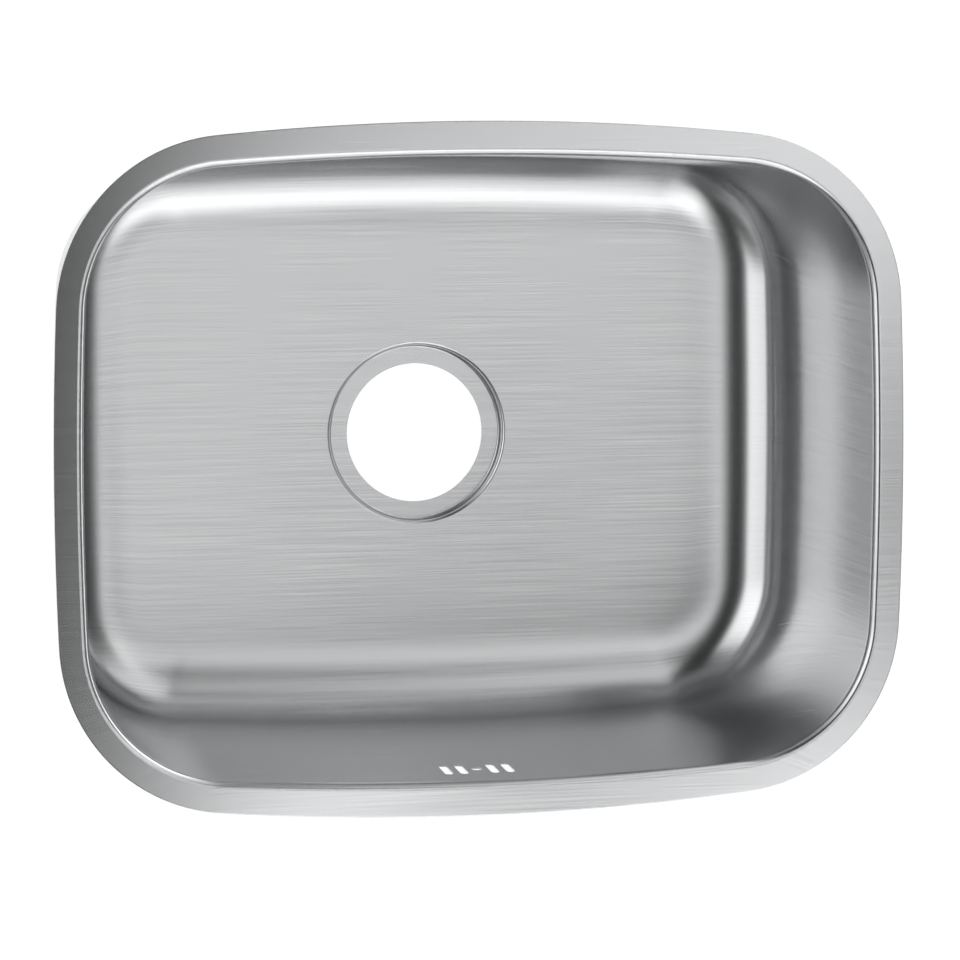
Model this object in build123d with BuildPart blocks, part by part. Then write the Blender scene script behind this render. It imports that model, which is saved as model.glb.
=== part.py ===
# Pressed stainless-steel undermount kitchen sink bowl with glued sound-deadening pads
# Millimetres, +Z up, +X along the long side, the overflow is in the wall on the -Y side
# The origin lies under the middle of the flange, level with the underside of the waste ring
from build123d import *
from math import hypot, isclose, radians, sin, sqrt, tan
import os

os.makedirs("parts", exist_ok=True)

# Sheet and overall height
sheet = 1.0
overall_height = 200.0

# Bowl opening, between the inner faces of the walls at flange level
# Each side bows out a little in its middle
opening_length = 494.6
opening_width = 381.7
opening_corner = 88.0
opening_long_bow = 6.0
opening_short_bow = 2.0
long_wall_draft = 3.4
short_wall_draft = 2.2

# Bend from the floor into the walls: a wide arc, a sloping shoulder and a tighter arc
long_side_slope = 45.0
short_side_slope = 35.0
shoulder_rise = 15.0
floor_side_bend = 40.0
wall_side_bend = 16.0

# Flange, from the inner face of the wall to the cut edge
long_side_flange = 20.8
short_side_flange = 18.5
corner_flange = 20.0
flange_long_bow = 7.5
flange_short_bow = 2.0
flange_edge_round = 0.3
rim_bend = 4.7

# Floor, floor dish and waste recess, all centred on the waste
waste_x = 0.0
waste_y = 8.0
waste_hole_diameter = 90.0
recess_diameter = 114.0
recess_depth = 6.0
recess_rim_round = 2.5
recess_foot_round = 1.5
dish_radius = 4200.0

# Overflow: upright slots on both sides of a screw hole, measured down from the flange
overflow_drop = 31.7
slot_width = 5.3
slot_height = 22.5
slot_pitch = 9.8
slots_per_side = 2
screw_hole_diameter = 6.8

# Pads, and how far they stay from what is around them
pad_thickness = 3.0
pad_corner = 8.0
wall_pad_height = 66.0
pad_overflow_gap = 12.0
pad_end_gap = 25.0
pad_recess_gap = 14.0
pad_floor_edge_gap = 32.0

# Levels
flange_underside = overall_height - sheet
recess_floor = sheet
dish_low = recess_floor + recess_depth
overflow_level = overall_height - overflow_drop

# Level of the dish under the corners of the opening, where it is highest
corner_cut = opening_corner * (1 - sqrt(0.5))
corner_x = opening_length / 2 - corner_cut + abs(waste_x)
corner_y = opening_width / 2 - corner_cut + abs(waste_y)
floor_edge = dish_low + hypot(corner_x, corner_y) ** 2 / (2 * dish_radius)

# Insets from the opening on the long and the short sides: of the walls and of the shoulder where each would
# meet the base, and of the bend's edge on the floor
crease_level = floor_edge + shoulder_rise
crease_share = 1 - crease_level / overall_height
long_slope = radians(long_side_slope)
short_slope = radians(short_side_slope)
long_wall_run = overall_height * tan(radians(long_wall_draft))
short_wall_run = overall_height * tan(radians(short_wall_draft))
long_base_inset = long_wall_run * crease_share + crease_level / tan(long_slope)
short_base_inset = short_wall_run * crease_share + crease_level / tan(short_slope)
long_floor_inset = long_base_inset - floor_edge / tan(long_slope) + floor_side_bend * tan(long_slope / 2)
short_floor_inset = short_base_inset - floor_edge / tan(short_slope) + floor_side_bend * tan(short_slope / 2)

# Flange outline
flange_length = opening_length + 2 * short_side_flange
flange_width = opening_width + 2 * long_side_flange
flange_corner = opening_corner + corner_flange
flange = (flange_length, flange_width, flange_corner, flange_long_bow, flange_short_bow)


def bowed_outline(length, width, corner, long_bow, short_bow):
    # A rectangle with bowed sides and round corners
    x = length / 2 - corner - short_bow
    y = width / 2 - corner - long_bow
    with BuildLine() as sides:
        ThreePointArc((-x, -y), (0, -y - long_bow), (x, -y))
        ThreePointArc((x, -y), (x + short_bow, 0), (x, y))
        ThreePointArc((x, y), (0, y + long_bow), (-x, y))
        ThreePointArc((-x, y), (-x - short_bow, 0), (-x, -y))
    make_face(sides.edges())
    offset(amount=corner, kind=Kind.ARC)


def bowl_outline(long_inset, short_inset):
    # The outline of the opening, drawn in by one inset on its long sides and another on its short sides
    length = opening_length - 2 * short_inset
    width = opening_width - 2 * long_inset
    corner = opening_corner - (long_inset + short_inset) / 2
    bowed_outline(length, width, corner, opening_long_bow, opening_short_bow)


def bowl_plane(level):
    # The plane of the bowl's outline at a level, which moves towards the waste on its way down
    share = 1 - level / overall_height
    return Plane((waste_x * share, waste_y * share, level))


def wall_block(grow):
    # The space inside the four drafted walls, from the base to the flange, grown by an even margin
    with BuildPart() as block:
        with BuildSketch(bowl_plane(0)):
            bowl_outline(long_wall_run - grow, short_wall_run - grow)
        with BuildSketch(bowl_plane(overall_height)):
            bowl_outline(-grow, -grow)
        loft(ruled=True)
    return block.part


def side_block(grow):
    # The space inside the walls and the shoulder below them, grown by an even margin
    # The crease between them moves down by about half of that margin
    long_grow = grow / sin(long_slope)
    short_grow = grow / sin(short_slope)
    level = crease_level - grow / 2
    share = 1 - level / overall_height
    with BuildPart() as block:
        with BuildSketch(bowl_plane(0)):
            bowl_outline(long_base_inset - long_grow, short_base_inset - short_grow)
        with BuildSketch(bowl_plane(level)):
            bowl_outline(long_wall_run * share - grow, short_wall_run * share - grow)
        with BuildSketch(bowl_plane(overall_height)):
            bowl_outline(-grow, -grow)
        loft(ruled=True)
    return block.part


def dish_ball(grow):
    # A large ball whose lowest part is the dished floor, with its poles away from the floor
    with BuildPart() as ball:
        with Locations((waste_x, waste_y, dish_low + dish_radius)):
            Sphere(dish_radius + grow, rotation=(90, 0, 0))
    return ball.part


def bowl_block(grow):
    # The filled bowl: walls, bend, dished floor and waste recess, grown by an even margin
    plug_radius = recess_diameter / 2 + grow
    with BuildPart() as block:
        add(side_block(grow))
        crease = block.edges().filter_by(GeomType.CIRCLE).group_by(Axis.Z)[1]
        fillet(crease, wall_side_bend + grow)
        add(dish_ball(grow), mode=Mode.INTERSECT)
        fillet(block.faces().sort_by(Axis.Z)[0].edges(), floor_side_bend + grow)
        with BuildSketch(Plane.XY.offset(recess_floor - grow)):
            with Locations((waste_x, waste_y)):
                Circle(plug_radius)
        extrude(amount=floor_edge)
        circles = block.edges().filter_by(GeomType.CIRCLE)
        plug_edges = circles.filter_by(lambda edge: isclose(edge.radius, plug_radius))
        fillet(plug_edges.sort_by(Axis.Z)[-1], recess_rim_round - grow)
        fillet(block.faces().sort_by(Axis.Z)[0].edges(), recess_foot_round + grow)
    return block.part


# Pressed bowl: one sheet between two filled bowls, with its flange
outside = bowl_block(sheet)
inside = bowl_block(0.0)
with BuildPart() as sink_bowl:
    with BuildSketch(Plane.XY.offset(flange_underside)):
        bowed_outline(*flange)
    extrude(amount=sheet)
    fillet(sink_bowl.faces().sort_by(Axis.Z)[-1].edges(), flange_edge_round)
    add(outside)
    add(inside, mode=Mode.SUBTRACT)
    top_face = sink_bowl.faces().filter_by(Plane.XY).sort_by(Axis.Z)[-1]
    fillet(top_face.inner_wires()[0].edges(), rim_bend)
    under_face = sink_bowl.faces().filter_by(Plane.XY).sort_by(Axis.Z)[-2]
    fillet(under_face.inner_wires()[0].edges(), rim_bend - sheet)
    with Locations((waste_x, waste_y, recess_floor)):
        Hole(waste_hole_diameter / 2)
    with BuildSketch(Plane.front):
        for place in range(1, slots_per_side + 1):
            with Locations((-place * slot_pitch, overflow_level), (place * slot_pitch, overflow_level)):
                SlotOverall(slot_height, slot_width, rotation=90)
        with Locations((0, overflow_level)):
            Circle(screw_hole_diameter / 2)
    extrude(amount=flange_width / 2, mode=Mode.SUBTRACT)
sink_bowl.part.label = "sink_bowl"
export_step(sink_bowl.part, "parts/sink_bowl.step")


# Pads on the outside of the walls, below the overflow
wall_pad_high = overflow_level - slot_height / 2 - pad_overflow_gap
wall_pads = {
    "front_wall_pad": (Plane.front, opening_length),
    "back_wall_pad": (Plane.back, opening_length),
    "left_wall_pad": (Plane.left, opening_width),
    "right_wall_pad": (Plane.right, opening_width),
}
for name, (facing, side) in wall_pads.items():
    with BuildPart() as wall_pad:
        add(wall_block(sheet + pad_thickness))
        with BuildSketch(facing):
            with Locations((0, wall_pad_high - wall_pad_height / 2)):
                RectangleRounded(side - 2 * opening_corner - 2 * pad_end_gap, wall_pad_height, pad_corner)
        extrude(amount=side, mode=Mode.INTERSECT)
        add(outside, mode=Mode.SUBTRACT)
    wall_pad.part.label = name
    export_step(wall_pad.part, f"parts/{name}.step")


# Pads under the floor, on both sides of the waste recess
base_pad_near = recess_diameter / 2 + sheet + pad_recess_gap
base_pad_far = opening_length / 2 - short_floor_inset - pad_floor_edge_gap
base_pad_width = base_pad_far - base_pad_near
base_pad_length = opening_width - 2 * long_floor_inset - 2 * pad_floor_edge_gap
base_pads = {"base_pad_left": -1, "base_pad_right": 1}
for name, direction in base_pads.items():
    with BuildPart() as base_pad:
        with BuildSketch():
            with Locations((waste_x + direction * (base_pad_near + base_pad_width / 2), waste_y)):
                RectangleRounded(base_pad_width, base_pad_length, pad_corner)
        extrude(amount=overall_height)
        add(dish_ball(sheet + pad_thickness), mode=Mode.INTERSECT)
        add(outside, mode=Mode.SUBTRACT)
    base_pad.part.label = name
    export_step(base_pad.part, f"parts/{name}.step")
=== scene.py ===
# Pressed stainless-steel kitchen sink bowl with glued sound pads, on a white studio floor
import math

import bmesh
import bpy
import numpy as np
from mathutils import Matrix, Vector


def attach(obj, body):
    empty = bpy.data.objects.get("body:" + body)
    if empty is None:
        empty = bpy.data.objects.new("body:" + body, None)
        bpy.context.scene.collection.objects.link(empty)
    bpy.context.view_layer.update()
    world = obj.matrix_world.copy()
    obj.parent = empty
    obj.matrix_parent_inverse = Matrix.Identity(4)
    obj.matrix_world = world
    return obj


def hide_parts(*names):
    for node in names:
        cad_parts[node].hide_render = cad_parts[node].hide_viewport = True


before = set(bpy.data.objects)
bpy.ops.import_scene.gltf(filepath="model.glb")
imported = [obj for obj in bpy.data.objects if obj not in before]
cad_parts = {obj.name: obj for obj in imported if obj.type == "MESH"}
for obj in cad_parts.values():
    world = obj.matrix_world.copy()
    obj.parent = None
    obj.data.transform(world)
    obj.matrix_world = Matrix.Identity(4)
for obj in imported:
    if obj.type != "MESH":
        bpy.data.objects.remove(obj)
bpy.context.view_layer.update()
print("frame loaded with", len(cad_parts), "nodes")

mm = 0.001  # the object's sizes are in millimetres, Blender works in metres
creaseAngle = 35.0  # degrees, faces that meet at more than this keep a sharp edge
edgeTurns = (0, 30, 60, 90)  # degrees, the steps round a small edge
pureWhite = "#ffffff"


def hexColour(text):
    # sRGB hex to linear light, with full alpha
    colour = []
    for place in (1, 3, 5):
        part = int(text[place:place + 2], 16) / 255
        colour.append(part / 12.92 if part <= 0.04045 else ((part + 0.055) / 1.055) ** 2.4)
    return [*colour, 1.0]


# sockets of a colour mix, whose names are also those of its number sockets
firstColour = 6
secondColour = 7
mixedColour = 2


def addNode(tree, kind, settings=None, links=None):
    # a setting goes to the input of that name if there is one, otherwise to the node itself
    node = tree.nodes.new(kind)
    for name, value in (settings or {}).items():
        if name in node.inputs:
            node.inputs[name].default_value = value
        else:
            setattr(node, name, value)
    for place, source in (links or {}).items():
        tree.links.new(source, node.inputs[place])
    return node


def meshObject(name, points, faces, material):
    # points in millimetres
    mesh = bpy.data.meshes.new(name)
    mesh.from_pydata((np.asarray(points) * mm).tolist(), [], faces)
    mesh.materials.append(material)
    piece = bpy.data.objects.new(name, mesh)
    bpy.context.scene.collection.objects.link(piece)
    return piece


def smoothWithCreases(mesh):
    # smooth shading that stays sharp where faces meet steeply, as round a punched hole
    mesh.shade_smooth()
    mesh.set_sharp_from_angle(angle=math.radians(creaseAngle))


def outwardFaces(mesh):
    # turns the faces of closed shapes outwards
    turned = bmesh.new()
    turned.from_mesh(mesh)
    bmesh.ops.recalc_face_normals(turned, faces=turned.faces)
    turned.to_mesh(mesh)
    turned.free()


# Brushed stainless sheet, drawn into a bowl: grey metal with faint lines along X, blurred across them
steel = {
    "colour": "#dedfdf",
    "lineColour": "#b9babc",  # the lines mix between the two colours
    "roughness": 0.25,
    "roughnessSpread": 0.05,
    "anisotropic": 0.8,
    "lineWidth": 0.8,  # drawn coarser than the real 0.1 mm, so that the lines show at this distance
    "lineLength": 110.0,
    "lineDepth": 0.015,
    "lineStrength": 0.3,
    "lineDetail": 3.0,  # finer lines within each line
    "lineFineness": 0.6,
}


def brushedStainless(look):
    material = bpy.data.materials.new("brushedStainless")
    material.use_nodes = True
    tree = material.node_tree
    shader = tree.nodes["Principled BSDF"]
    shader.inputs["Metallic"].default_value = 1.0
    shader.inputs["Anisotropic"].default_value = look["anisotropic"]
    sheetPlace = addNode(tree, "ShaderNodeUVMap", {"uv_map": "sheet"})  # millimetres on the flat blank
    stretch = (1 / look["lineLength"], 1 / look["lineWidth"], 1.0)
    lines = addNode(tree, "ShaderNodeMapping", {"Scale": stretch}, {"Vector": sheetPlace.outputs["UV"]})
    fine = {"Scale": 1.0, "Detail": look["lineDetail"], "Roughness": look["lineFineness"]}
    grain = addNode(tree, "ShaderNodeTexNoise", fine, {"Vector": lines.outputs["Vector"]})
    tint = addNode(tree, "ShaderNodeMix", {"data_type": "RGBA"}, {"Factor": grain.outputs["Fac"]})
    tint.inputs[firstColour].default_value = hexColour(look["lineColour"])
    tint.inputs[secondColour].default_value = hexColour(look["colour"])
    tree.links.new(tint.outputs[mixedColour], shader.inputs["Base Color"])
    middle = look["roughness"]
    spread = look["roughnessSpread"]
    rough = addNode(tree, "ShaderNodeMapRange", {"To Min": middle - spread, "To Max": middle + spread},
                    {"Value": grain.outputs["Fac"]})
    tree.links.new(rough.outputs["Result"], shader.inputs["Roughness"])
    depth = {"Strength": look["lineStrength"], "Distance": look["lineDepth"] * mm}
    relief = addNode(tree, "ShaderNodeBump", depth, {"Height": grain.outputs["Fac"]})
    tree.links.new(relief.outputs["Normal"], shader.inputs["Normal"])
    across = addNode(tree, "ShaderNodeCombineXYZ", {"Y": 1.0})  # across the lines, where the blur is wide
    tree.links.new(across.outputs["Vector"], shader.inputs["Tangent"])
    return material


# Sound pads: black bitumen-rubber sheet, matt, with a fine pressed grain
padLook = {
    "colour": "#1d1d1e",
    "grainColour": "#2c2c2d",
    "roughness": 0.85,
    "ior": 1.5,
    "grainSize": 1.4,
    "grainDepth": 0.15,
    "grainStrength": 0.6,
    "grainDetail": 2.0,
}


def pressedRubber(look):
    material = bpy.data.materials.new("pressedRubber")
    material.use_nodes = True
    tree = material.node_tree
    shader = tree.nodes["Principled BSDF"]
    shader.inputs["Roughness"].default_value = look["roughness"]
    shader.inputs["IOR"].default_value = look["ior"]
    place = addNode(tree, "ShaderNodeTexCoord")
    fine = {"Scale": 1 / (look["grainSize"] * mm), "Detail": look["grainDetail"]}
    grain = addNode(tree, "ShaderNodeTexNoise", fine, {"Vector": place.outputs["Object"]})
    tint = addNode(tree, "ShaderNodeMix", {"data_type": "RGBA"}, {"Factor": grain.outputs["Fac"]})
    tint.inputs[firstColour].default_value = hexColour(look["colour"])
    tint.inputs[secondColour].default_value = hexColour(look["grainColour"])
    tree.links.new(tint.outputs[mixedColour], shader.inputs["Base Color"])
    depth = {"Strength": look["grainStrength"], "Distance": look["grainDepth"] * mm}
    relief = addNode(tree, "ShaderNodeBump", depth, {"Height": grain.outputs["Fac"]})
    tree.links.new(relief.outputs["Normal"], shader.inputs["Normal"])
    return material


# The pressed bowl, from the same sizes as the solid it stands for
bowl = {
    "sheet": 1.0,
    "height": 200.0,
    "openingLength": 494.6,
    "openingWidth": 381.7,
    "openingCorner": 88.0,
    "openingLongBow": 6.0,
    "openingShortBow": 2.0,
    "longWallDraft": 3.4,  # degrees, as are the slopes
    "shortWallDraft": 2.2,
    "longSideSlope": 45.0,
    "shortSideSlope": 35.0,
    "shoulderRise": 15.0,
    "floorSideBend": 40.0,
    "wallSideBend": 16.0,
    "floorEase": 20.0,  # arc, shoulder and arc are eased into one curve, which starts this much earlier
    "wallEase": 8.0,
    "bendFullness": 0.7,  # 1 would pull the curve to where wall and floor would meet
    "longFlange": 20.8,
    "shortFlange": 18.5,
    "cornerFlange": 20.0,
    "flangeLongBow": 7.5,
    "flangeShortBow": 2.0,
    "edgeRound": 0.3,
    "rimBend": 4.7,
    "wasteX": 0.0,
    "wasteY": 8.0,
    "wasteHole": 90.0,
    "recess": 114.0,
    "recessDepth": 6.0,
    "recessRim": 2.5,
    "recessFoot": 1.5,
    "dishRadius": 4200.0,
    "overflowDrop": 31.7,
    "slotWidth": 5.3,
    "slotHeight": 22.5,
    "slotPitch": 9.8,
    "screwHole": 6.8,
    "longSteps": 56,  # the steps set how finely each side, arc and hole is divided
    "shortSteps": 40,
    "cornerSteps": 28,
    "rimSteps": 12,
    "bendSteps": 36,
    "recessRimSteps": 8,
    "recessFootSteps": 6,
    "slotSteps": 16,
    "screwHoleSteps": 24,
}


def bowedOutline(length, width, corner, longBow, shortBow):
    # points and outward directions round a rectangle with bowed sides and round corners
    x = length / 2 - corner - shortBow
    y = width / 2 - corner - longBow
    longRadius = (x * x / longBow + longBow) / 2
    shortRadius = (y * y / shortBow + shortBow) / 2
    longTurn = math.asin(x / longRadius)
    shortTurn = math.asin(y / shortRadius)
    quarter = math.pi / 2
    longArc = (longRadius, bowl["longSteps"])
    shortArc = (shortRadius, bowl["shortSteps"])
    cornerArc = (0.0, bowl["cornerSteps"])
    longCentre = y + longBow - longRadius
    shortCentre = x + shortBow - shortRadius
    arcs = [
        (0, -longCentre, *longArc, -quarter - longTurn, -quarter + longTurn),
        (x, -y, *cornerArc, -quarter + longTurn, -shortTurn),
        (shortCentre, 0, *shortArc, -shortTurn, shortTurn),
        (x, y, *cornerArc, shortTurn, quarter - longTurn),
        (0, longCentre, *longArc, quarter - longTurn, quarter + longTurn),
        (-x, y, *cornerArc, quarter + longTurn, 2 * quarter - shortTurn),
        (-shortCentre, 0, *shortArc, 2 * quarter - shortTurn, 2 * quarter + shortTurn),
        (-x, -y, *cornerArc, 2 * quarter + shortTurn, 3 * quarter - longTurn),
    ]
    points = []
    outward = []
    for centreX, centreY, radius, steps, start, end in arcs:
        turn = start + (end - start) * np.arange(steps) / steps
        direction = np.stack([np.cos(turn), np.sin(turn)], 1)
        points.append(np.array([centreX, centreY]) + direction * (radius + corner))
        outward.append(direction)
    return np.concatenate(points), np.concatenate(outward)


def level(flat, z):
    # lifts flat points to a height, or to one height each
    return np.column_stack([flat, np.broadcast_to(z, len(flat))])


def unit(vectors):
    return vectors / np.linalg.norm(vectors, axis=1, keepdims=True)


height = bowl["height"]
sheet = bowl["sheet"]
longSlope = math.radians(bowl["longSideSlope"])
shortSlope = math.radians(bowl["shortSideSlope"])
waste = np.array([bowl["wasteX"], bowl["wasteY"]])
recessFloor = sheet
dishLow = recessFloor + bowl["recessDepth"]
dishCentre = np.array([*waste, dishLow + bowl["dishRadius"]])
up = np.array([0.0, 0.0, 1.0])


def bowlOutline(longInset, shortInset):
    # the outline of the opening, drawn in by one inset on its long sides and another on its short sides
    return bowedOutline(
        bowl["openingLength"] - 2 * shortInset, bowl["openingWidth"] - 2 * longInset,
        bowl["openingCorner"] - (longInset + shortInset) / 2,
        bowl["openingLongBow"], bowl["openingShortBow"],
    )


# levels and insets of the bend, as on the solid
cornerCut = bowl["openingCorner"] * (1 - math.sqrt(0.5))
cornerX = bowl["openingLength"] / 2 - cornerCut + abs(bowl["wasteX"])
cornerY = bowl["openingWidth"] / 2 - cornerCut + abs(bowl["wasteY"])
floorEdge = dishLow + math.hypot(cornerX, cornerY) ** 2 / (2 * bowl["dishRadius"])
creaseLevel = floorEdge + bowl["shoulderRise"]
creaseShare = 1 - creaseLevel / height
longRun = height * math.tan(math.radians(bowl["longWallDraft"]))
shortRun = height * math.tan(math.radians(bowl["shortWallDraft"]))
longShoulder = longRun * creaseShare + creaseLevel / math.tan(longSlope)
shortShoulder = shortRun * creaseShare + creaseLevel / math.tan(shortSlope)

# columns run down the walls from the opening to the base, whose middle lies under the waste
top, topOut = bowlOutline(0.0, 0.0)
wallFoot = bowlOutline(longRun, shortRun)[0] + waste
shoulderFoot = bowlOutline(longShoulder, shortShoulder)[0] + waste
outward = np.column_stack([topOut, np.zeros(len(top))])
draft = np.arctan(((top - wallFoot) * topOut).sum(1) / height)[:, None]
edge, edgeOut = bowedOutline(
    bowl["openingLength"] + 2 * bowl["shortFlange"], bowl["openingWidth"] + 2 * bowl["longFlange"],
    bowl["openingCorner"] + bowl["cornerFlange"], bowl["flangeLongBow"], bowl["flangeShortBow"],
)


def wallPoint(z):
    # the inner face of the wall, at one height or at one for each column
    share = np.broadcast_to(z, len(top))[:, None] / height
    return level(wallFoot + (top - wallFoot) * share, z)


def dishHeight(flat, grow):
    # the floor's height over flat points, on the inside or on the underside
    radius = bowl["dishRadius"] + grow
    return dishCentre[2] - np.sqrt(radius ** 2 - ((flat - waste) ** 2).sum(1))


def arcRows(centre, start, end, radius, steps):
    # rows along an arc from one direction to another, both ends included
    angle = np.arccos(np.clip((start * end).sum(1), -1, 1))[:, None]
    rows = []
    for share in np.arange(steps + 1) / steps:
        direction = (start * np.sin((1 - share) * angle) + end * np.sin(share * angle)) / np.sin(angle)
        rows.append(centre + direction * radius)
    return rows


def between(first, last, shares):
    # rows between two rows, the ends left out
    return [first + (last - first) * share for share in shares]


meetingRounds = 20  # rounds of the search for where shoulder and floor meet


def bendEnds():
    # where the bend leaves the wall and the floor, and where wall and floor would meet without it
    crease = wallPoint(creaseLevel)
    wallDown = unit(level(wallFoot, 0.0) - level(top, height))
    shoulderDown = unit(level(shoulderFoot, 0.0) - crease)
    turn = np.arccos((wallDown * shoulderDown).sum(1))
    tight = bowl["wallSideBend"] * np.tan(turn / 2)
    wallEnd = wallPoint(creaseLevel + tight + bowl["wallEase"])
    share = np.full(len(top), 0.5)  # the search starts halfway down the shoulder
    for attempt in range(meetingRounds):
        meeting = crease[:, :2] + (shoulderFoot - crease[:, :2]) * share[:, None]
        share = 1 - dishHeight(meeting, 0.0) / creaseLevel
    square = unit(dishCentre - level(meeting, dishHeight(meeting, 0.0)))
    turn = np.arcsin(-(shoulderDown * square).sum(1))
    inward = unit(shoulderFoot - crease[:, :2])
    flat = meeting + inward * (bowl["floorSideBend"] * np.tan(turn / 2) + bowl["floorEase"])[:, None]
    floorEnd = level(flat, dishHeight(flat, 0.0))
    square = dishCentre - floorEnd
    way = ((floorEnd - wallEnd) * square).sum(1) / (wallDown * square).sum(1)
    return wallEnd, wallEnd + wallDown * way[:, None], floorEnd


def bendRows(grow, steps):
    # rows along the bend from the wall to the floor, on a curve that leaves both without a visible edge
    wallEnd, corner, floorEnd = bendEnds()
    wallPull = (corner - wallEnd) * bowl["bendFullness"]
    floorPull = (corner - floorEnd) * bowl["bendFullness"]
    guides = [
        wallEnd, wallEnd + wallPull / 2, wallEnd + wallPull,
        floorEnd + floorPull, floorEnd + floorPull / 2, floorEnd,
    ]
    degree = len(guides) - 1
    rows = []
    for share in np.arange(steps + 1) / steps:
        row = 0.0
        for place, guide in enumerate(guides):
            weight = math.comb(degree, place) * share ** place * (1 - share) ** (degree - place)
            row = row + guide * weight
        rows.append(row)
    along = np.gradient(np.array(rows), axis=0)
    beside = np.column_stack([-topOut[:, 1], topOut[:, 0], np.zeros(len(top))])
    return [row + unit(np.cross(way, beside)) * grow for row, way in zip(rows, along)]


# shares that keep a row close to each end, so that the bends stay clean
closeEnds = [0.02, 0.25, 0.5, 0.75, 0.98]
wallShares = [0.004, *np.linspace(0.06, 0.94, 12), 0.996]
floorShares = [0.003, *np.linspace(0.05, 0.95, 18), 0.997]
recessShares = [0.1, 0.9]


def skinRows(grow):
    # one face of the sheet from the flange to the waste hole: grow 0 is the inside, sheet the outside
    inset = bowl["edgeRound"] if grow == 0 else 0.0
    flangeEdge = level(edge - edgeOut * inset, height - grow)
    steep = up * np.sin(draft) - outward * np.cos(draft)
    rimOut = bowl["rimBend"] * (1 - np.sin(draft)) / np.cos(draft)
    rimCentre = level(top + topOut * rimOut, height - bowl["rimBend"])
    upward = np.broadcast_to(up, rimCentre.shape)
    rim = arcRows(rimCentre, upward, steep, bowl["rimBend"] - grow, bowl["rimSteps"])
    bend = bendRows(grow, bowl["bendSteps"])
    spoke = unit(bend[-1][:, :2] - waste)
    rimRing = bowl["recess"] / 2 + bowl["recessRim"]
    ringEdge = waste + spoke * rimRing
    floorEnd = level(ringEdge, dishHeight(ringEdge, grow))
    floor = []
    for row in between(bend[-1], floorEnd, floorShares):
        row[:, 2] = dishHeight(row[:, :2], grow)
        floor.append(row)
    side = np.column_stack([spoke, np.zeros(len(spoke))])
    recessTop = level(ringEdge, dishHeight(ringEdge, 0.0) - bowl["recessRim"])
    rimRadius = bowl["recessRim"] - grow
    recessRim = arcRows(recessTop, upward, -side, rimRadius, bowl["recessRimSteps"])
    footRing = bowl["recess"] / 2 - bowl["recessFoot"]
    recessLow = level(waste + spoke * footRing, recessFloor + bowl["recessFoot"])
    footRadius = bowl["recessFoot"] + grow
    recessFoot = arcRows(recessLow, side, -upward, footRadius, bowl["recessFootSteps"])
    holeEdge = level(waste + spoke * bowl["wasteHole"] / 2, recessFloor - grow)
    raised = [
        flangeEdge, *between(flangeEdge, rim[0], closeEnds),
        *rim, *between(rim[-1], bend[0], wallShares), *bend,
    ]
    lying = [
        *floor, *recessRim, *between(recessRim[-1], recessFoot[0], recessShares),
        *recessFoot, *between(recessFoot[-1], holeEdge, closeEnds), holeEdge,
    ]
    return raised, lying


def blankPlaces(raised, lying):
    # where each point lay on the flat blank before drawing, so that the lines run up the short walls
    places = [raised[-1][:, :2]]
    for outer, inner in zip(raised[-2::-1], raised[:0:-1]):
        step = np.linalg.norm(outer - inner, axis=1)[:, None]
        places.insert(0, places[0] + topOut * step)
    return places + [row[:, :2] for row in lying]


def slotOutline(x, width, tall, steps):
    # an upright slot with round ends, or a circle where both sizes are the same
    straight = (tall - width) / 2
    turn = np.pi * np.arange(steps + 1) / steps
    half = np.column_stack([np.cos(turn), np.sin(turn)]) * width / 2
    outline = np.concatenate([half + [0, straight], -half - [0, straight]])
    if straight == 0:
        outline = np.delete(outline, [steps, 2 * steps + 1], 0)
    return outline + [x, height - bowl["overflowDrop"]]


slotPlaces = (-2, -1, 1, 2)  # in pitches from the screw hole
plugReach = 10.0  # how far the plugs stand out on either side of the opening's edge


def overflowCutters(material):
    # slots and screw hole as closed plugs that pass through the wall on the -Y side
    wallEdge = -bowl["openingWidth"] / 2
    points = []
    faces = []
    holes = []
    for place in slotPlaces:
        x = place * bowl["slotPitch"]
        holes.append(slotOutline(x, bowl["slotWidth"], bowl["slotHeight"], bowl["slotSteps"]))
    holes.append(slotOutline(0, bowl["screwHole"], bowl["screwHole"], bowl["screwHoleSteps"]))
    for outline in holes:
        count = len(outline)
        first = len(points)
        for y in (wallEdge - plugReach, wallEdge + plugReach):
            points.extend([x, y, z] for x, z in outline)
        ring = range(count)
        faces.append([first + place for place in ring])
        faces.append([first + count + place for place in reversed(ring)])
        for place in ring:
            after = (place + 1) % count
            faces.append([first + after, first + place, first + count + place, first + count + after])
    plugs = meshObject("overflowPlugs", points, faces, material)
    outwardFaces(plugs.data)
    return plugs


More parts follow.
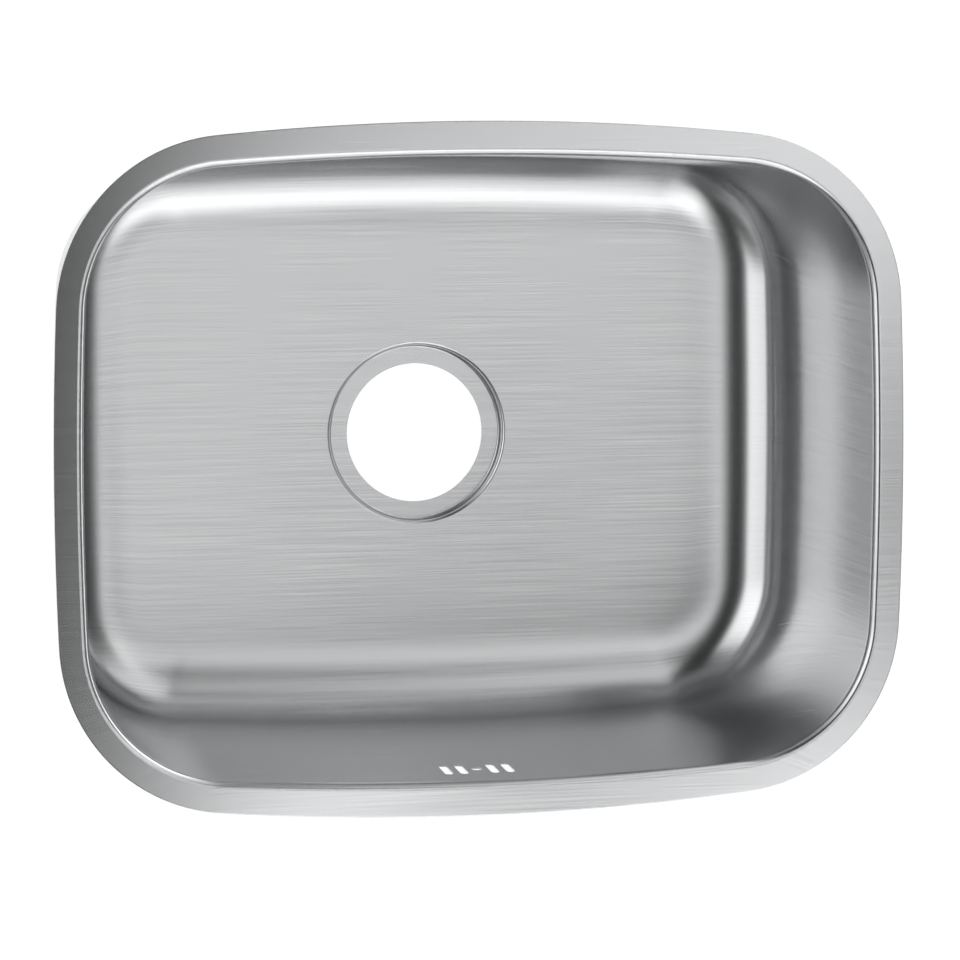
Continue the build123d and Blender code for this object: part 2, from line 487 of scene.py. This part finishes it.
def pressedBowl(material):
    raised, lying = skinRows(0.0)
    inside = raised + lying
    outside = sum(skinRows(sheet), [])
    edgeLow = outside[0]
    small = bowl["edgeRound"]
    edgeRows = []
    for turn in np.radians(edgeTurns[:-1]):  # the inside starts with the row of the last turn
        inset = small * (1 - math.cos(turn))
        edgeRows.append(level(edge - edgeOut * inset, height - small * (1 - math.sin(turn))))
    rows = [edgeLow, *edgeRows, *inside, *reversed(outside[1:])]
    count = len(top)
    points = np.concatenate(rows)
    faces = []
    for row in range(len(rows)):
        here = row * count
        there = (row + 1) % len(rows) * count
        for column in range(count):
            beside = (column + 1) % count
            faces.append([here + column, here + beside, there + beside, there + column])
    piece = meshObject("pressedBowl", points, faces, material)
    blank = blankPlaces(raised, lying)
    edgeBlank = [blank[0]] * (1 + len(edgeRows))
    places = np.concatenate([*edgeBlank, *blank, *reversed(blank[1:])])
    corners = np.empty(len(piece.data.loops), int)
    piece.data.loops.foreach_get("vertex_index", corners)
    piece.data.uv_layers.new(name="sheet").data.foreach_set("uv", places[corners].ravel())
    plugs = overflowCutters(material)
    punch = piece.modifiers.new("overflow", "BOOLEAN")
    punch.operation = "DIFFERENCE"
    punch.solver = "EXACT"
    punch.object = plugs
    whole = piece.evaluated_get(bpy.context.evaluated_depsgraph_get())
    piece.data = bpy.data.meshes.new_from_object(whole)
    piece.modifiers.clear()
    bpy.data.objects.remove(plugs)
    smoothWithCreases(piece.data)
    return piece


steelMaterial = brushedStainless(steel)
bowlPiece = pressedBowl(steelMaterial)
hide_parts("sink_bowl")
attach(bowlPiece, "root")
print("bowl pressed:", len(bowlPiece.data.polygons), "faces")

# Sound pads, glued to the outside of the walls and under the floor
pads = {
    "thickness": 3.0,
    "corner": 8.0,
    "edgeRound": 1.0,
    "wallHeight": 66.0,
    "overflowGap": 12.0,
    "endGap": 25.0,
    "recessGap": 14.0,
    "floorEdgeGap": 32.0,
    "cornerSteps": 8,
    "sideSteps": 24,
}


def roundedRing(width, tall, corner):
    # points round a rectangle with round corners, its sides divided so that they can follow the bowl
    turn = np.linspace(0, math.pi / 2, pads["cornerSteps"] + 1)
    arc = np.column_stack([np.cos(turn), np.sin(turn)]) * corner
    x = width / 2 - corner
    y = tall / 2 - corner
    mirrored = arc[:, ::-1]
    ends = [arc + [x, y], mirrored * [-1, 1] + [-x, y], -arc - [x, y], mirrored * [1, -1] + [x, -y]]
    shares = np.arange(1, pads["sideSteps"])[:, None] / pads["sideSteps"]
    points = []
    for place, end in enumerate(ends):
        after = ends[(place + 1) % len(ends)][0]
        points.extend([end, end[-1] + (after - end[-1]) * shares])
    return np.concatenate(points)


padShares = [0.04, 0.3, 0.6, 0.9]  # rings from a pad's middle to its edge


def padPiece(name, width, tall, place, material):
    # a flat sheet with a rounded upper edge, laid on the steel by place(points, lift off the inner face)
    small = pads["edgeRound"]
    low = sheet
    high = sheet + pads["thickness"]
    whole = roundedRing(width, tall, pads["corner"])
    rings = [place(whole * share, low) for share in padShares] + [place(whole, low)]
    for turn in np.radians(edgeTurns):
        inset = small * (1 - math.cos(turn))
        ring = roundedRing(width - 2 * inset, tall - 2 * inset, pads["corner"] - inset)
        rings.append(place(ring, high - small * (1 - math.sin(turn))))
    rings.extend(place(whole * share, high) for share in reversed(padShares))
    count = len(whole)
    faces = [list(range(count)), [count * len(rings) - 1 - column for column in range(count)]]
    for first in range(0, count * (len(rings) - 1), count):
        for column in range(count):
            here = first + column
            beside = first + (column + 1) % count
            faces.append([here, here + count, beside + count, beside])
    piece = meshObject(name, np.concatenate(rings), faces, material)
    outwardFaces(piece.data)
    smoothWithCreases(piece.data)
    return piece


facingLimit = 0.7  # columns whose outward direction has this much of an axis belong to that wall


def onWall(axis, sign, middle):
    # lays pad points on the wall that faces along an axis, with the pad's middle at a height
    along = 1 - axis
    columns = np.flatnonzero(topOut[:, axis] * sign > facingLimit)
    columns = columns[np.argsort(top[columns, along])]

    def place(points, lift):
        laid = np.empty((len(points), 3))
        for row, (across, rise) in enumerate(points):
            wall = (wallPoint(middle + rise)[:, :2] + topOut * lift)[columns]
            laid[row, along] = across
            laid[row, axis] = np.interp(across, wall[:, along], wall[:, axis])
            laid[row, 2] = middle + rise
        return laid

    return place


def underFloor(x):
    # lays pad points under the dished floor, with the pad's middle at a distance from the waste
    def place(points, lift):
        flat = points + waste + [x, 0]
        return level(flat, dishHeight(flat, lift))

    return place


def floorInset(shoulder, slope):
    # how far the flat of the floor ends inside the opening, past shoulder and bend
    return shoulder - floorEdge / math.tan(slope) + bowl["floorSideBend"] * math.tan(slope / 2)


def soundPads(material):
    wallHigh = height - bowl["overflowDrop"] - bowl["slotHeight"] / 2 - pads["overflowGap"]
    ends = 2 * bowl["openingCorner"] + 2 * pads["endGap"]
    middle = wallHigh - pads["wallHeight"] / 2
    near = bowl["recess"] / 2 + sheet + pads["recessGap"]
    far = bowl["openingLength"] / 2 - floorInset(shortShoulder, shortSlope) - pads["floorEdgeGap"]
    deep = bowl["openingWidth"] - 2 * floorInset(longShoulder, longSlope) - 2 * pads["floorEdgeGap"]
    longSide = (bowl["openingLength"] - ends, pads["wallHeight"])
    shortSide = (bowl["openingWidth"] - ends, pads["wallHeight"])
    base = (far - near, deep)
    layout = {
        "front_wall_pad": (*longSide, onWall(1, -1, middle)),
        "back_wall_pad": (*longSide, onWall(1, 1, middle)),
        "left_wall_pad": (*shortSide, onWall(0, -1, middle)),
        "right_wall_pad": (*shortSide, onWall(0, 1, middle)),
        "base_pad_left": (*base, underFloor(-(near + far) / 2)),
        "base_pad_right": (*base, underFloor((near + far) / 2)),
    }
    for node, (width, tall, place) in layout.items():
        piece = padPiece(node + "_sheet", width, tall, place, material)
        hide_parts(node)
        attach(piece, "root")
    print("pads laid:", len(layout))


soundPads(pressedRubber(padLook))

# Matt studio floor: grey, so that it throws little light on the walls
# Its glow makes it white to the camera and in reflections
floorLook = {
    "colour": "#8c8c8c",
    "roughness": 0.9,
    "glow": 0.89,
    "size": 8.0,  # metres
    "drop": 0.2,  # millimetres below the bowl
}


def studioFloor(look):
    material = bpy.data.materials.new("studioFloor")
    material.use_nodes = True
    tree = material.node_tree
    shader = tree.nodes["Principled BSDF"]
    shader.inputs["Base Color"].default_value = hexColour(look["colour"])
    shader.inputs["Roughness"].default_value = look["roughness"]
    shader.inputs["Specular IOR Level"].default_value = 0.0
    shader.inputs["Emission Color"].default_value = hexColour(pureWhite)
    path = addNode(tree, "ShaderNodeLightPath")
    seen = addNode(tree, "ShaderNodeMath", {"operation": "MAXIMUM"},
                   {0: path.outputs["Is Camera Ray"], 1: path.outputs["Is Glossy Ray"]})
    seenToo = addNode(tree, "ShaderNodeMath", {"operation": "MAXIMUM"},
                      {0: seen.outputs[0], 1: path.outputs["Is Transmission Ray"]})
    glow = addNode(tree, "ShaderNodeMath", {"operation": "MULTIPLY"}, {0: seenToo.outputs[0]})
    glow.inputs[1].default_value = look["glow"]
    tree.links.new(glow.outputs[0], shader.inputs["Emission Strength"])
    half = look["size"] / 2 / mm
    corners = [[x * half, y * half, -look["drop"]] for x, y in ((-1, -1), (1, -1), (1, 1), (-1, 1))]
    floor = meshObject("studioFloor", corners, [[0, 1, 2, 3]], material)
    print("floor laid:", look["size"], "m wide")


studioFloor(floorLook)

# Camera, where the photograph was taken from
camera = {
    "location": (-0.64631, 0.23312, 2.78062),  # metres
    "turn": (-0.0893, -0.2435, -0.0012),  # radians
    "lens": 164.95,  # millimetres, as is the sensor
    "sensor": 36.0,
    "reach": 100.0,  # metres
}


def photoCamera(look):
    lensData = bpy.data.cameras.new("camera")
    lensData.lens = look["lens"]
    lensData.sensor_width = look["sensor"]
    lensData.clip_end = look["reach"]
    cameraObject = bpy.data.objects.new("camera", lensData)
    cameraObject.location = look["location"]
    cameraObject.rotation_euler = look["turn"]
    bpy.context.scene.collection.objects.link(cameraObject)
    bpy.context.scene.camera = cameraObject
    print("camera set:", look["lens"], "mm lens")


photoCamera(camera)

# Soft studio boxes that face the bowl from one distance, where fade is the soft share of each half
# Angles are in degrees from +X and from the floor, sizes in metres
lamps = {
    "leftBox": {
        "azimuth": 162, "elevation": 44, "width": 1.5, "height": 1.26, "fade": 0.2, "brightness": 1.78,
    },
    "backBox": {
        "azimuth": 49, "elevation": 28, "width": 1.2, "height": 2.0, "fade": 0.35, "brightness": 1.0,
    },
    "frontBox": {
        "azimuth": 292, "elevation": 32, "width": 1.18, "height": 1.44, "fade": 0.15, "brightness": 1.1,
    },
    "frontStrip": {
        "azimuth": 299, "elevation": 56, "width": 0.98, "height": 0.36, "fade": 0.2, "brightness": 2.2,
    },
    "rightStrip": {
        "azimuth": 16, "elevation": 70, "width": 0.42, "height": 1.12, "fade": 0.55, "brightness": 1.9,
    },
    "rightLow": {
        "azimuth": 41, "elevation": 5, "width": 1.4, "height": 0.56, "fade": 0.35, "brightness": 2.4,
    },
    "rightFill": {
        "azimuth": 5, "elevation": 4, "width": 2.8, "height": 0.34, "fade": 0.45, "brightness": 2.4,
    },
    "overhead": {
        "azimuth": 288, "elevation": 68, "width": 0.42, "height": 0.62, "fade": 0.9, "brightness": 1.7,
    },
}
lampDistance = 1.4
lampAim = Vector((0.0, 0.0, height * mm))  # the middle of the opening


def fadeToEdges(light, fade):
    # the light is even in the middle and fades out towards the edges, as on a diffuser
    half = 0.5  # places on the lamp run from 0 to 1, so this is both its middle and half its span
    light.use_nodes = True
    tree = light.node_tree
    place = addNode(tree, "ShaderNodeNewGeometry")
    parts = addNode(tree, "ShaderNodeSeparateXYZ", {}, {"Vector": place.outputs["Parametric"]})
    sides = []
    for axis in ("X", "Y"):
        middle = addNode(tree, "ShaderNodeMath", {"operation": "SUBTRACT"}, {0: parts.outputs[axis]})
        middle.inputs[1].default_value = half
        away = addNode(tree, "ShaderNodeMath", {"operation": "ABSOLUTE"}, {0: middle.outputs[0]})
        sides.append(addNode(tree, "ShaderNodeMapRange", {
            "interpolation_type": "SMOOTHSTEP", "From Min": half * (1 - fade), "From Max": half,
            "To Min": 1.0, "To Max": 0.0,
        }, {"Value": away.outputs[0]}))
    both = addNode(tree, "ShaderNodeMath", {"operation": "MULTIPLY"},
                   {0: sides[0].outputs["Result"], 1: sides[1].outputs["Result"]})
    tree.links.new(both.outputs[0], tree.nodes["Emission"].inputs["Strength"])


def softBox(name, look):
    around = math.radians(look["azimuth"])
    above = math.radians(look["elevation"])
    flat = math.cos(above)
    way = Vector((flat * math.cos(around), flat * math.sin(around), math.sin(above)))
    light = bpy.data.lights.new(name, "AREA")
    light.shape = "RECTANGLE"
    light.size = look["width"]
    light.size_y = look["height"]
    light.energy = look["brightness"] * math.pi * look["width"] * look["height"]  # as bright at any size
    fadeToEdges(light, look["fade"])
    lamp = bpy.data.objects.new(name, light)
    lamp.location = lampAim + way * lampDistance
    lamp.rotation_euler = way.to_track_quat("Z", "Y").to_euler()
    lamp.visible_camera = False
    bpy.context.scene.collection.objects.link(lamp)


for name, look in lamps.items():
    softBox(name, look)
print("lamps hung:", len(lamps))

# Room: grey near the horizon, dark above, fading between two heights in degrees
room = {"horizon": 0.42, "above": 0.02, "fadeFrom": 15.0, "fadeTo": 35.0}


def studioRoom(look):
    world = bpy.data.worlds.new("studioRoom")
    world.use_nodes = True
    tree = world.node_tree
    way = addNode(tree, "ShaderNodeTexCoord")
    parts = addNode(tree, "ShaderNodeSeparateXYZ", {}, {"Vector": way.outputs["Generated"]})
    ends = [math.sin(math.radians(look[end])) for end in ("fadeFrom", "fadeTo")]
    fade = addNode(tree, "ShaderNodeMapRange", {
        "From Min": ends[0], "From Max": ends[1], "To Min": look["horizon"], "To Max": look["above"],
    }, {"Value": parts.outputs["Z"]})
    tree.links.new(fade.outputs["Result"], tree.nodes["Background"].inputs["Strength"])
    tree.nodes["Background"].inputs["Color"].default_value = hexColour(pureWhite)
    bpy.context.scene.world = world
    print("room set: from", look["horizon"], "at the horizon to", look["above"], "above")


studioRoom(room)
bpy.context.scene.view_settings.view_transform = "Standard"
